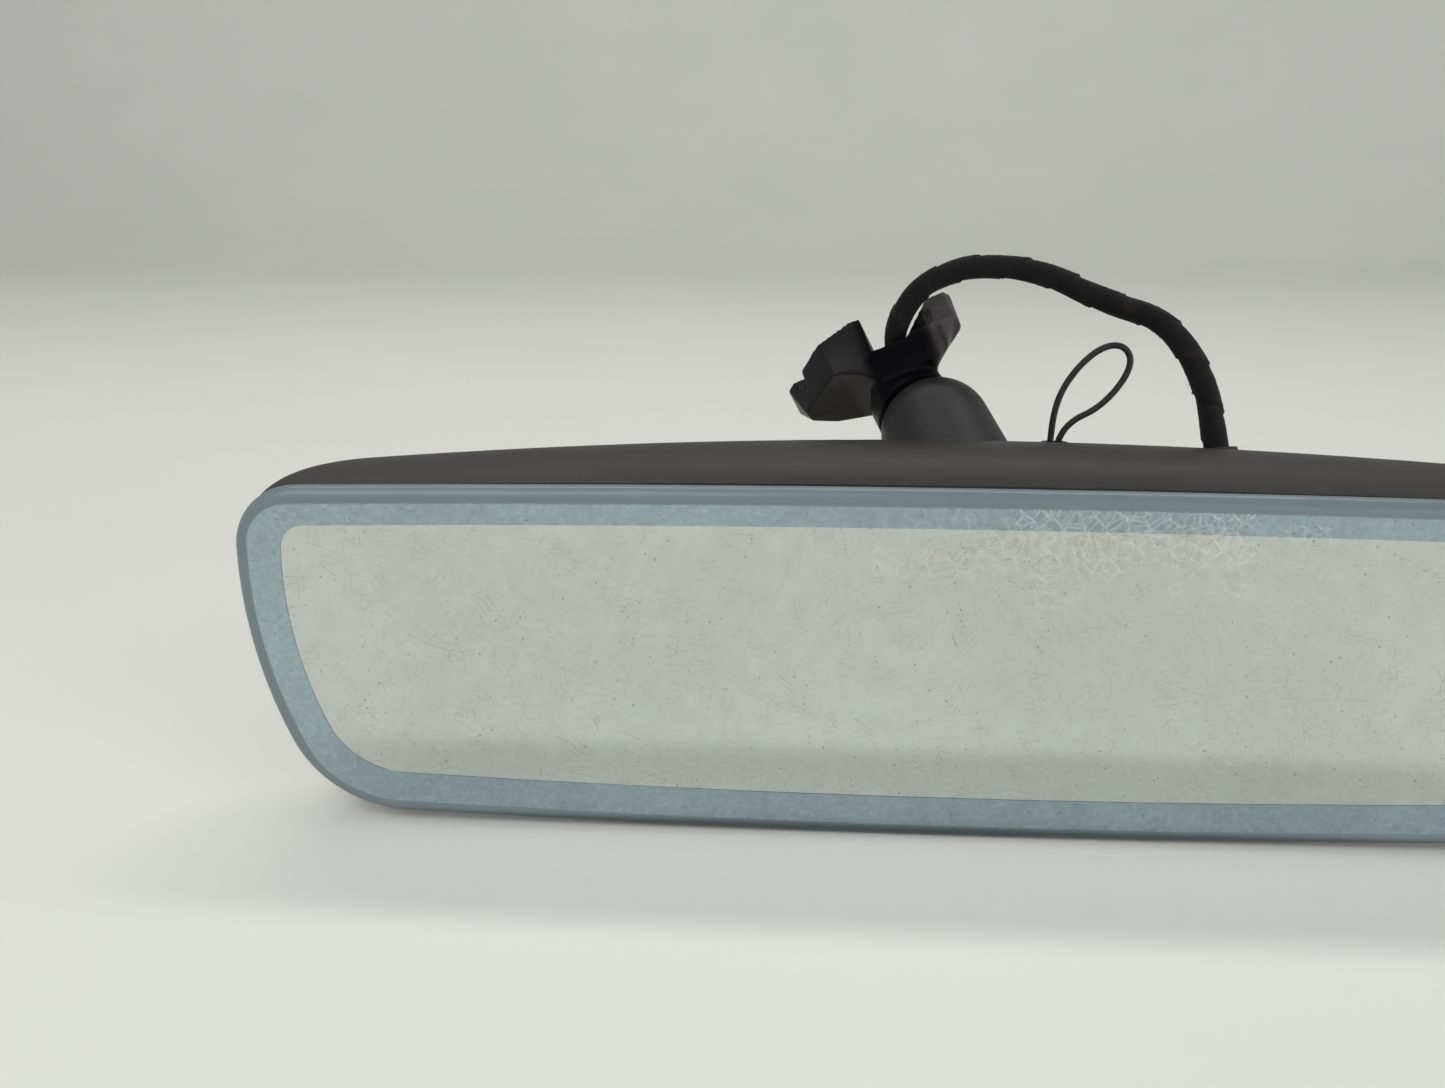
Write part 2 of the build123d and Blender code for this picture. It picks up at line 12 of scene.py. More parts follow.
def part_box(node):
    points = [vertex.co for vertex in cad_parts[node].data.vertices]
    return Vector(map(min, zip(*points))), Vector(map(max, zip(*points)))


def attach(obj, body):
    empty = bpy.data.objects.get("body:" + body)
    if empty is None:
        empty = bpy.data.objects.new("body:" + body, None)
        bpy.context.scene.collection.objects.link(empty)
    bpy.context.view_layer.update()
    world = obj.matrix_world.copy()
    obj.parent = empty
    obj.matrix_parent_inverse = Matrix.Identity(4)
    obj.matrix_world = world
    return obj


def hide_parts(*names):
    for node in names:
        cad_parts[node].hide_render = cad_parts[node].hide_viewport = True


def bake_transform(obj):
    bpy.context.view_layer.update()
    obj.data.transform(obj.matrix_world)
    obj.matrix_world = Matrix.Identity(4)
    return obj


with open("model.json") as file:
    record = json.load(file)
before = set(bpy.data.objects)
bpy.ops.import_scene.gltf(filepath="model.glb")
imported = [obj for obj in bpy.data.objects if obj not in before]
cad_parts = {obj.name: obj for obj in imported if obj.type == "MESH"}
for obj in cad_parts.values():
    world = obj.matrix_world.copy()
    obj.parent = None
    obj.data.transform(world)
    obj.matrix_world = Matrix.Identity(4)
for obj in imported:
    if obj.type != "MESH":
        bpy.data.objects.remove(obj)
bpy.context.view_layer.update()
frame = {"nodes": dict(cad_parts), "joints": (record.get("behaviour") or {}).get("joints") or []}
NODES = frame["nodes"]
MM = 0.001

# ---- places ---------------------------------------------------------------------------------------------
glass_low, glass_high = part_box("front_glass")
GLASS = Vector(((glass_low.x + glass_high.x) / 2, glass_low.y, (glass_low.z + glass_high.z) / 2))
BALL = Vector(frame["joints"][0]["pos_m"])
FOOT_Z = Vector((-0.2, 0.8, 0.565)).normalized()        # towards the windscreen
FOOT_X = Vector((-0.904, 0.071, -0.421))
FOOT_X = (FOOT_X - FOOT_Z * FOOT_X.dot(FOOT_Z)).normalized()
FOOT_Y = FOOT_Z.cross(FOOT_X)


def at(x, y, z):
    """A place from the middle of the glass's front face."""
    return GLASS + Vector((x, y, z))


def on_foot(x, y, z):
    """A place in the foot's own directions, from the ball's centre."""
    return BALL + FOOT_X * x + FOOT_Y * y + FOOT_Z * z


# ---- camera, floor and lights ---------------------------------------------------------------------------
CAMERA_PLACE = at(-0.03190, -0.17211, 0.08352)
CAMERA_PITCH = 19.467         # degrees down, to the left, and about the line of sight
CAMERA_YAW = 2.932
CAMERA_ROLL = 0.111
CAMERA_LENS = 28              # mm, as the sensor's width is
SENSOR_WIDTH = 36
CLIP_START = 0.005
CLIP_END = 50

FLOOR_HALF = 6.0              # half the floor's width, and how far it reaches to the front
SWEEP_START = 0.9             # where the floor begins to curve up into the wall behind
SWEEP_RADIUS = 0.8
SWEEP_STEPS = 24
WALL_TOP = 2.4

SKY = (1.0, 0.995, 0.97)
SKY_HORIZON = 0.85            # brightness near the horizon, and overhead
SKY_ZENITH = 0.24
SKY_FADE = (0.1, 0.85)        # sines of the elevations between which it falls
# name, elevation, turn from straight behind, distance, size, power, colour
LIGHTS = [
    ("key", 67.0, 0.0, 1.0, (1.3, 0.09), 3.5, (1.0, 0.99, 0.96)),
    ("fill", 50.0, 215.0, 1.1, (0.9, 0.6), 4.8, (1.0, 1.0, 0.985)),
    ("low", 8.0, 118.0, 1.2, (0.8, 0.2), 6.0, (1.0, 1.0, 1.0)),
]


def camera():
    """Camera at the photograph's viewing angle."""
    data = bpy.data.cameras.new("camera")
    data.lens = CAMERA_LENS
    data.sensor_width = SENSOR_WIDTH
    data.clip_start = CLIP_START
    data.clip_end = CLIP_END
    made = bpy.data.objects.new("camera", data)
    bpy.context.scene.collection.objects.link(made)
    pitch = radians(CAMERA_PITCH)
    yaw = radians(CAMERA_YAW)
    forward = Vector((-sin(yaw) * cos(pitch), cos(yaw) * cos(pitch), -sin(pitch)))
    look = forward.to_track_quat("-Z", "Y") @ Quaternion((0, 0, 1), radians(CAMERA_ROLL))
    made.rotation_mode = "QUATERNION"
    made.rotation_quaternion = look
    made.location = CAMERA_PLACE
    bpy.context.scene.camera = made


def mesh_object(name, points, faces):
    """A smooth-shaded object made of the given points and faces."""
    data = bpy.data.meshes.new(name)
    data.from_pydata([tuple(p) for p in points], [], faces)
    data.shade_smooth()
    made = bpy.data.objects.new(name, data)
    bpy.context.scene.collection.objects.link(made)
    return made


def floor():
    """Pale floor that sweeps up far behind the object."""
    height = glass_low.z
    profile = [(-FLOOR_HALF, height), (0.0, height)]
    for step in range(SWEEP_STEPS + 1):
        turn = pi / 2 * step / SWEEP_STEPS
        profile.append((SWEEP_START + SWEEP_RADIUS * sin(turn), height + SWEEP_RADIUS * (1 - cos(turn))))
    profile.append((SWEEP_START + SWEEP_RADIUS, height + WALL_TOP))
    points = [(x, y, z) for y, z in profile for x in (-FLOOR_HALF, FLOOR_HALF)]
    faces = [(2 * i, 2 * i + 1, 2 * i + 3, 2 * i + 2) for i in range(len(profile) - 1)]
    made = mesh_object("floor", points, faces)
    made.data.materials.append(floor_look())


def lights():
    """A sky that is paler near the horizon, and soft lamps that all face the glass."""
    world = bpy.data.worlds.new("sky")
    bpy.context.scene.world = world
    world.use_nodes = True
    tree = world.node_tree
    sky = tree.nodes["Background"]
    sky.inputs["Color"].default_value = (*SKY, 1)
    split = tree.nodes.new("ShaderNodeSeparateXYZ")
    fade = tree.nodes.new("ShaderNodeMapRange")
    fade.interpolation_type = "SMOOTHSTEP"
    for key, value in zip(("From Min", "From Max", "To Min", "To Max"), (*SKY_FADE, SKY_HORIZON, SKY_ZENITH)):
        fade.inputs[key].default_value = value
    tree.links.new(tree.nodes.new("ShaderNodeTexCoord").outputs["Generated"], split.inputs[0])
    tree.links.new(split.outputs["Z"], fade.inputs["Value"])
    tree.links.new(fade.outputs[0], sky.inputs["Strength"])
    for name, elevation, turn, distance, size, power, colour in LIGHTS:
        data = bpy.data.lights.new(name, "AREA")
        data.shape = "RECTANGLE"
        data.size, data.size_y = size
        data.energy = power
        data.color = colour
        made = bpy.data.objects.new(name, data)
        bpy.context.scene.collection.objects.link(made)
        rise = radians(elevation)
        about = radians(turn)
        out = Vector((sin(about) * cos(rise), cos(about) * cos(rise), sin(rise)))
        made.location = GLASS + out * distance
        made.rotation_mode = "QUATERNION"
        made.rotation_quaternion = out.to_track_quat("Z", "Y")
    bpy.context.scene.view_settings.view_transform = "Standard"


# ---- materials ------------------------------------------------------------------------------------------
class Look:
    """A material built up from procedural nodes.  Pattern scales are in features per metre."""

    def __init__(self, name):
        self.made = bpy.data.materials.new(name)
        self.made.use_nodes = True
        self.tree = self.made.node_tree
        self.tree.nodes.clear()
        self.place = self.node("TexCoord").outputs["Object"]

    def node(self, kind, inputs=(), **settings):
        """Adds a shader node; each input is a value, or another node's output to link to it."""
        made = self.tree.nodes.new("ShaderNode" + kind)
        for key, value in settings.items():
            setattr(made, key, value)
        for key, value in dict(inputs).items():
            socket = made.inputs[key]
            if isinstance(value, bpy.types.NodeSocket):
                self.tree.links.new(value, socket)
            elif socket.type == "RGBA":
                socket.default_value = (*value, 1)
            else:
                socket.default_value = value
        return made

    def stretched(self, factors, turn=0.0):
        """Object coordinates turned about Y, then scaled differently along each axis."""
        turned = self.node("Mapping", {"Vector": self.place, "Rotation": (0, turn, 0)})
        return self.node("Mapping", {"Vector": turned.outputs[0], "Scale": factors}).outputs[0]

    def noise(self, scale, detail=3.0, roughness=0.5, place=None):
        """Cloudy pattern between 0 and 1."""
        inputs = {"Vector": place or self.place, "Scale": scale, "Detail": detail, "Roughness": roughness}
        return self.node("TexNoise", inputs).outputs[0]

    def upright(self, place=None):
        """Coordinates across and up, for patterns drawn on an upright plane."""
        place = place or self.place
        return self.node("CombineXYZ", {"X": self.axis("X", place), "Y": self.axis("Z", place)}).outputs[0]

    def cells(self, scale, feature="F1", place=None):
        """Distance to the cells' middles or edges, in a plane where a place in it is given."""
        made = self.node("TexVoronoi", {"Vector": place or self.place, "Scale": scale}, feature=feature,
                         voronoi_dimensions="2D" if place else "3D")
        return made.outputs[0]

    def inset(self):
        """Distance in from the glass's outline, which has crowned edges and round corners."""
        across = self.math("ABSOLUTE", self.math("SUBTRACT", self.axis("X"), GLASS.x))
        up = self.math("SUBTRACT", self.axis("Z"), GLASS.z)
        along = self.math("POWER", self.math("DIVIDE", across, GLASS_HALF_TOP), 2.0)
        to_top = self.math("SUBTRACT", GLASS_HALF_HEIGHT, up)
        to_top = self.math("SUBTRACT", to_top, self.product(along, CROWN_TOP))
        to_low = self.math("ADD", GLASS_HALF_HEIGHT, up)
        to_low = self.math("SUBTRACT", to_low, self.product(along, CROWN_LOW))
        flare = self.math("ADD", self.product(up, SIDE_SLANT), self.product(up, up, -SIDE_CURVE))
        slope = self.math("SUBTRACT", SIDE_SLANT, self.product(up, 2 * SIDE_CURVE))
        lean = self.math("SQRT", self.math("ADD", self.product(slope, slope), 1.0))
        to_side = self.math("SUBTRACT", self.math("ADD", flare, GLASS_HALF_MIDDLE), across)
        to_side = self.math("DIVIDE", to_side, lean)
        radius = self.ramp(up, -CORNER_CHANGE, CORNER_CHANGE, CORNER_LOW, CORNER_TOP)
        short = [self.math("MAXIMUM", self.math("SUBTRACT", radius, far), 0.0)
                 for far in (to_side, self.math("MINIMUM", to_top, to_low))]
        squares = [self.product(part, part) for part in short]
        return self.math("SUBTRACT", radius, self.math("SQRT", self.math("ADD", *squares)))

    def ramp(self, value, low, high, to_low=0.0, to_high=1.0):
        """Smooth step from one value to another as the input goes from low to high."""
        inputs = {"Value": value, "From Min": low, "From Max": high, "To Min": to_low, "To Max": to_high}
        return self.node("MapRange", inputs, interpolation_type="SMOOTHSTEP").outputs[0]

    def math(self, operation, first, second=0.0):
        return self.node("Math", {0: first, 1: second}, operation=operation).outputs[0]

    def product(self, *values):
        result = values[0]
        for value in values[1:]:
            result = self.math("MULTIPLY", result, value)
        return result

    def mix(self, share, first, second):
        """Colour between two others."""
        made = self.node("Mix", data_type="RGBA")
        for index, value in ((0, share), (6, first), (7, second)):
            if isinstance(value, bpy.types.NodeSocket):
                self.tree.links.new(value, made.inputs[index])
            else:
                made.inputs[index].default_value = value if index == 0 else (*value, 1)
        return made.outputs[2]

    def axis(self, name, place=None):
        return self.node("SeparateXYZ", {0: place or self.place}).outputs[name]

    def bump(self, height, depth):
        return self.node("Bump", {"Height": height, "Distance": depth, "Strength": 1.0}).outputs[0]

    def principled(self, **inputs):
        """Principled shader; the inputs' names are written with underscores and in lower case."""
        named = {key.replace("_", " ").title().replace("Ior", "IOR"): value for key, value in inputs.items()}
        return self.node("BsdfPrincipled", named).outputs[0]

    def blend(self, share, first, second):
        return self.node("MixShader", {0: share, 1: first, 2: second}).outputs[0]

    def done(self, shader):
        self.node("OutputMaterial", {"Surface": shader})
        return self.made


def floor_look():
    """Pale matt paint with very faint clouds."""
    look = Look("floor_paint")
    cloud = look.noise(7.0, 4.0)
    colour = look.mix(cloud, (0.73, 0.745, 0.715), (0.79, 0.80, 0.77))
    return look.done(look.principled(base_color=colour, roughness=0.7))


FINE_GRAIN = 2600.0            # the mould's grain, per metre, and how deep it is
GRAIN_DEPTH = 0.00003
DUST = (0.30, 0.29, 0.27)


def plastic_look(name, colour, pale, roughness, grain=FINE_GRAIN, grain_depth=GRAIN_DEPTH, specular=0.5):
    """Moulded plastic with an eroded grain, faint clouding and specks of dust."""
    look = Look(name)
    cloud = look.noise(38.0, 4.0)
    fine = look.noise(grain, 2.0, 0.6)
    dust = look.ramp(look.noise(420.0, 5.0, 0.7), 0.62, 0.78)
    shade = look.mix(look.ramp(cloud, 0.3, 0.7), colour, pale)
    shade = look.mix(look.product(dust, 0.10), shade, DUST)
    matt = look.ramp(cloud, 0.25, 0.75, roughness - 0.05, roughness + 0.06)
    return look.done(look.principled(base_color=shade, roughness=matt, normal=look.bump(fine, grain_depth),
                                     specular_ior_level=specular))


# painted shade for the saddle, the foot's own plain colour, painted light for the ear and for faces that
# point down or to the right, and pale scuffs
FOOT_PAINTED_SHADE = (0.0026, 0.0025, 0.0036)
FOOT_PLAIN = (0.0100, 0.0096, 0.0112)
FOOT_PAINTED_LIGHT = (0.0600, 0.0566, 0.0576)
FOOT_SCUFF = (0.16, 0.15, 0.15)
PAINTED_SHADE_MIDDLE = 0.0012                # of the strip of painted shade along the saddle, across the foot from the ball's centre
PAINTED_SHADE_HALF = (0.0048, 0.0078)        # where the strip begins to fade, and where it is gone
PAINTED_LIGHT_EAR_FROM = (-0.0050, -0.0065)         # where the painted light on the ear begins, across the foot


def foot_look():
    """The foot's plastic, with painted shade along the saddle's middle, and painted light on the ear and on
    faces that point down or to the right.
    """
    look = Look("foot_plastic")
    facing = look.node("TexCoord").outputs["Normal"]
    from_ball = look.node("VectorMath", {0: look.place, 1: BALL}, operation="SUBTRACT").outputs[0]
    across = look.node("VectorMath", {0: from_ball, 1: FOOT_X}, operation="DOT_PRODUCT").outputs["Value"]
    # 0 in the strip of painted shade along the saddle, 1 away from it
    off_painted_shade = look.ramp(look.math("ABSOLUTE", look.math("SUBTRACT", across, PAINTED_SHADE_MIDDLE)), *PAINTED_SHADE_HALF)
    # painted light on faces that point down or to the right, and on the ear
    down = look.ramp(look.axis("Z", facing), -0.1, -0.5)
    painted_light = look.math("MAXIMUM", down, look.ramp(look.axis("X", facing), 0.1, 0.5))
    painted_light = look.math("MAXIMUM", painted_light, look.ramp(across, *PAINTED_LIGHT_EAR_FROM))
    cloud = look.ramp(look.noise(60.0, 4.0), 0.3, 0.7, 0.82, 1.0)
    # painted shade: the saddle's middle strip is darker than the rest of the foot
    shade = look.mix(off_painted_shade, FOOT_PAINTED_SHADE, FOOT_PLAIN)
    # painted light: the ear and the faces that point down or to the right are paler
    shade = look.mix(look.product(painted_light, off_painted_shade, cloud), shade, FOOT_PAINTED_LIGHT)
    scuff = look.ramp(look.noise(900.0, 5.0, 0.75), 0.66, 0.80)
    shade = look.mix(look.product(scuff, 0.12), shade, FOOT_SCUFF)
    matt = look.ramp(look.noise(38.0, 4.0), 0.25, 0.75, 0.34, 0.46)
    grain = look.bump(look.noise(FINE_GRAIN, 2.0, 0.6), GRAIN_DEPTH)
    return look.done(look.principled(base_color=shade, roughness=matt, normal=grain,
                                     specular_ior_level=look.ramp(off_painted_shade, 0.0, 1.0, 0.05, 0.15)))


def metal_look(name, colour, roughness, stretch=(1, 1, 1)):
    """Metal with a fine uneven polish, brushed where the pattern is stretched."""
    look = Look(name)
    brushed = look.noise(900.0, 4.0, 0.6, look.stretched(stretch))
    shade = look.mix(brushed, tuple(0.82 * c for c in colour), colour)
    matt = look.ramp(brushed, 0.3, 0.7, roughness - 0.06, roughness + 0.08)
    return look.done(look.principled(base_color=shade, metallic=1.0, roughness=matt,
                                     normal=look.bump(brushed, 0.00001)))


def board_look():
    """Green lacquer over straight copper tracks."""
    look = Look("board_lacquer")
    place = look.stretched((1, 0, 1))
    tracks = look.node("TexBrick", {"Vector": place, "Scale": 260.0, "Mortar Size": 0.08}, offset=0.5)
    shade = look.mix(tracks.outputs["Fac"], (0.012, 0.075, 0.035), (0.03, 0.16, 0.07))
    return look.done(look.principled(base_color=shade, roughness=0.3))


def mirror_look(name, colour, roughness, mottle):
    """Mirror film: faintly clouded and finely mottled."""
    look = Look(name)
    cloud = look.noise(26.0, 5.0, 0.62)
    fine = look.noise(900.0, 3.0, 0.6)
    dark = tuple((1 - mottle) * c for c in colour)
    shade = look.mix(look.ramp(cloud, 0.3, 0.7), dark, colour)
    shade = look.mix(look.ramp(fine, 0.35, 0.75, 0.0, mottle), shade, (0.95, 0.97, 0.96))
    return look.done(look.principled(base_color=shade, metallic=1.0, roughness=roughness))


# the glass's outline, from its middle
GLASS_HALF_TOP = 0.1213               # half widths along the top edge and at mid height
GLASS_HALF_MIDDLE = 0.1219
GLASS_HALF_HEIGHT = 0.0321
CROWN_TOP = 0.0015                    # how far the top and lower edges fall back at their ends
CROWN_LOW = 0.0028
SIDE_SLANT = 0.1715                   # the sides' lean at mid height, and how fast it changes with height
SIDE_CURVE = 6.244
CORNER_TOP = 0.0090                   # the corners' radii, less what the leaning sides take from them
CORNER_LOW = 0.0118
CORNER_CHANGE = 0.004                 # half the height over which one radius gives way to the other

GROUND_WIDE = 0.0028                  # width of the ground edge
GROUND_COLOURS = (0.125, 0.165, 0.182), (0.155, 0.198, 0.212)
GROUND_SHADE_HEIGHTS = (-0.0285, -0.0305)       # heights between which painted shade darkens the lower ground edge, which faces down
GROUND_PAINTED_SHADE = (0.036, 0.052, 0.057)

# turn of the scratches' direction, place in the pattern, scale
SCRATCHES = [(0.25, 3.1, 75.0), (1.35, 7.7, 95.0), (2.3, 5.3, 85.0), (0.05, 9.2, 60.0)]
SCRATCH_STRETCH = (1.0, 1.0, 6.0)
CRACK_WANDER = 0.0016                 # how far the cracks' lines stray
RESIDUE_MIDDLE = (0.019, 0.0245)      # of the dried film near the top edge, across and up from the middle
RESIDUE_HALF = (0.034, 0.0125)

GLASS_TINT = (0.965, 0.985, 0.98)     # these five are for one pass through one face
RESIDUE_TINT = (0.93, 0.90, 0.83)
SMEAR_TINT = (0.86, 0.865, 0.85)
SCRATCH_TINT = (0.45, 0.45, 0.42)
SPOT_TINT = (0.25, 0.25, 0.22)
HAZE = (0.80, 0.84, 0.83)


def glass_look():
    """Clear glass with a ground edge whose lower side has painted shade, fine wear, and a dried film that has
    cracked into small cells.
    """
    look = Look("cell_glass")
    across = look.math("SUBTRACT", look.axis("X"), GLASS.x)
    up = look.math("SUBTRACT", look.axis("Z"), GLASS.z)
    flat = look.ramp(look.inset(), GROUND_WIDE - 0.0003, GROUND_WIDE + 0.0001)
    behind = look.ramp(look.axis("Y", look.node("TexCoord").outputs["Normal"]), 0.2, 0.4)
    flat = look.math("MAXIMUM", flat, behind)      # the back face is clear to its very edge

    scratch = None
    for turn, seed, scale in SCRATCHES:
        place = look.stretched(SCRATCH_STRETCH, turn)
        place = look.node("Mapping", {"Vector": place, "Location": (seed, seed, seed)}).outputs[0]
        line = look.ramp(look.cells(scale, "DISTANCE_TO_EDGE", look.upright(place)), 0.016, 0.004)
        kept = look.ramp(look.noise(100.0 + 9 * seed, 3.0), 0.55, 0.62)
        line = look.product(line, kept)
        scratch = line if scratch is None else look.math("MAXIMUM", scratch, line)
    spot = look.ramp(look.cells(270.0, "F1", look.upright()), 0.060, 0.030)
    spot = look.product(spot, look.ramp(look.noise(240.0, 4.0, 0.7), 0.53, 0.58))
    smear = look.ramp(look.noise(230.0, 7.0, 0.8), 0.45, 0.62)

    wander = look.node("TexNoise", {"Vector": look.place, "Scale": 260.0, "Detail": 3.0}).outputs["Color"]
    wander = look.node("VectorMath", {0: wander, 1: (CRACK_WANDER,) * 3}, operation="MULTIPLY").outputs[0]
    strayed = look.node("VectorMath", {0: look.place, 1: wander}, operation="ADD").outputs[0]
    crack = look.ramp(look.cells(430.0, "DISTANCE_TO_EDGE", look.upright(strayed)), 0.10, 0.03)
    far_x = look.math("DIVIDE", look.math("SUBTRACT", across, RESIDUE_MIDDLE[0]), RESIDUE_HALF[0])
    far_z = look.math("DIVIDE", look.math("SUBTRACT", up, RESIDUE_MIDDLE[1]), RESIDUE_HALF[1])
    far = look.math("ADD", look.math("POWER", far_x, 2.0), look.math("POWER", far_z, 2.0))
    patchy = look.math("ADD", far, look.ramp(look.noise(110.0, 4.0, 0.6), 0.3, 0.7, -0.5, 0.9))
    filmed = look.ramp(patchy, 1.25, 0.35)
    film = look.product(filmed, crack)

    wear = look.math("MAXIMUM", look.product(film, 0.19), look.product(scratch, 0.11))
    tan_film = look.product(filmed, look.ramp(look.noise(170.0, 2.0), 0.45, 0.62), 0.22)
    tint = look.mix(tan_film, GLASS_TINT, RESIDUE_TINT)
    tint = look.mix(look.product(smear, 0.16), tint, SMEAR_TINT)
    tint = look.mix(look.product(scratch, 0.18), tint, SCRATCH_TINT)
    tint = look.mix(look.product(spot, 0.38), tint, SPOT_TINT)
    clear = look.node("BsdfTransparent", {"Color": tint}).outputs[0]
    gloss = look.node("BsdfGlossy", {"Color": (1, 1, 1), "Roughness": 0.0}).outputs[0]
    inside = look.node("NewGeometry").outputs["Backfacing"]      # rays that leave the glass pass straight out
    shine = look.product(look.node("Fresnel", {"IOR": 1.5}).outputs[0], look.math("SUBTRACT", 1.0, inside))
    pane = look.blend(shine, clear, gloss)
    haze = look.node("BsdfDiffuse", {"Color": HAZE}).outputs[0]
    pane = look.blend(wear, pane, haze)

    grind = look.noise(1500.0, 3.0, 0.6)
    tone = look.mix(look.noise(90.0, 3.0), *GROUND_COLOURS)
    # painted shade: the lower ground edge is darker, as it faces down
    tone = look.mix(look.ramp(up, *GROUND_SHADE_HEIGHTS), tone, GROUND_PAINTED_SHADE)
    ground = look.principled(base_color=tone, roughness=0.32, normal=look.bump(grind, 0.00001))
    ground = look.blend(inside, ground, clear)
    return look.done(look.blend(flat, ground, pane))


RIB_PITCH = 0.00042            # of the tape's ribs, along the cord
THREADS_ROUND = 38.0           # threads that lie along the cord, counted round it
TAPE_COLOURS = (0.0034, 0.0033, 0.0040), (0.0100, 0.0096, 0.0104)
LINT = (0.12, 0.11, 0.10)
RUST = (0.060, 0.040, 0.030)
FLECK = (0.5, 0.5, 0.48)
SLEEVE_COLOURS = (0.0040, 0.0038, 0.0043), (0.0180, 0.0160, 0.0175)


def tape_look():
    """Black cloth tape: ribs across the cord, fibres along it, rusty wear, lint and a few pale flecks."""
    look = Look("cloth_tape")
    unrolled = look.node("UVMap", uv_map="tape").outputs[0]
    around = look.axis("X", unrolled)
    along = look.axis("Y", unrolled)
    slant = look.math("ADD", look.product(along, 1 / RIB_PITCH), look.product(around, 3.0))
    rib = look.math("SINE", look.product(slant, 2 * pi))
    threads = look.math("SINE", look.product(around, 2 * pi * THREADS_ROUND))
    fuzz = look.noise(2600.0, 4.0, 0.7)
    weave = look.math("ADD", look.product(rib, 0.5), look.math("ADD", look.product(threads, 0.25), fuzz))
    base = look.mix(look.ramp(weave, -0.4, 1.4), *TAPE_COLOURS)
    lint = look.ramp(look.noise(700.0, 5.0, 0.75), 0.66, 0.76)
    base = look.mix(look.product(lint, 0.35), base, LINT)
    rust = look.ramp(look.noise(150.0, 4.0, 0.6), 0.55, 0.72)
    base = look.mix(look.product(rust, 0.15), base, RUST)
    fleck = look.ramp(look.cells(620.0), 0.10, 0.06)
    fleck = look.product(fleck, look.ramp(look.noise(210.0, 2.0), 0.62, 0.66))
    base = look.mix(look.product(fleck, 0.8), base, FLECK)
    return look.done(look.principled(base_color=base, roughness=0.82, sheen_weight=0.05, sheen_roughness=0.5,
                                     specular_ior_level=0.14, normal=look.bump(weave, 0.00004)))


def sleeve_look():
    """Thin black plastic sleeve of a single wire."""
    look = Look("wire_sleeve")
    scuff = look.noise(800.0, 4.0, 0.65)
    shade = look.mix(look.ramp(scuff, 0.4, 0.75), *SLEEVE_COLOURS)
    matt = look.ramp(scuff, 0.3, 0.7, 0.38, 0.6)
    return look.done(look.principled(base_color=shade, roughness=matt, normal=look.bump(scuff, 0.00003),
                                     specular_ior_level=0.3))


def dress_frame():
    """Gives the CAD nodes listed below their materials."""
    casing = plastic_look("casing_plastic", (0.0165, 0.0150, 0.0148), (0.023, 0.0207, 0.0200), 0.5,
                          specular=0.4)
    dome = plastic_look("dome_plastic", (0.0085, 0.0083, 0.0100), (0.0115, 0.0112, 0.0132), 0.45,
                        specular=0.3)
    inner = plastic_look("inner_plastic", (0.03, 0.03, 0.032), (0.05, 0.05, 0.05), 0.55)
    rubber = plastic_look("rubber", (0.012, 0.012, 0.012), (0.02, 0.02, 0.02), 0.75, 1400.0)
    connector = plastic_look("connector", (0.018, 0.018, 0.02), (0.03, 0.03, 0.032), 0.4, 3200.0)
    lens = plastic_look("smoked_lens", (0.012, 0.012, 0.014), (0.016, 0.016, 0.018), 0.12, 4000.0, 0.000002)
    adhesive = plastic_look("adhesive", (0.16, 0.16, 0.16), (0.24, 0.24, 0.23), 0.8, 900.0, 0.0001)
    liner = plastic_look("liner_plastic", (0.62, 0.61, 0.56), (0.72, 0.71, 0.67), 0.35)
    steel = metal_look("steel", (0.56, 0.56, 0.58), 0.34, (1, 1, 6))
    brass = metal_look("contact_metal", (0.78, 0.62, 0.32), 0.28)
    field = mirror_look("mirror_film", (0.745, 0.731, 0.714), 0.015, 0.07)
    ring = mirror_look("ring_film", (0.410, 0.497, 0.570), 0.10, 0.16)
    looks = {
        glass_look(): ["front_glass"],
        ring: ["chrome_ring"],
        field: ["dimming_gel", "mirror_element"],
        casing: ["rear_casing"],
        dome: ["socket_dome"],
        foot_look(): ["mount_bracket", "harness_clip"],
        inner: ["carrier_plate", "socket_cup", "socket_retainer", "cell_seal"],
        rubber: ["harness_grommet", "loop_grommet", "cell_pad"],
        connector: ["harness_plug", "plug_latch", "board_socket", "board_plug", "board_components",
                    "glare_sensor", "ambient_sensor"],
        lens: ["ambient_lens", "light_guide"],
        adhesive: ["windscreen_pads"],
        liner: ["ball_liner"],
        steel: ["ball_stud", "friction_shell", "preload_spring", "reinforcement_plate", "board_screws",
                "dome_screws", "plate_screws", "casing_screws"],
        brass: ["plug_contacts"],
        board_look(): ["circuit_board"],
    }
    for look, names in looks.items():
        for name in names:
            data = NODES[name].data
            data.materials.clear()
            data.materials.append(look)


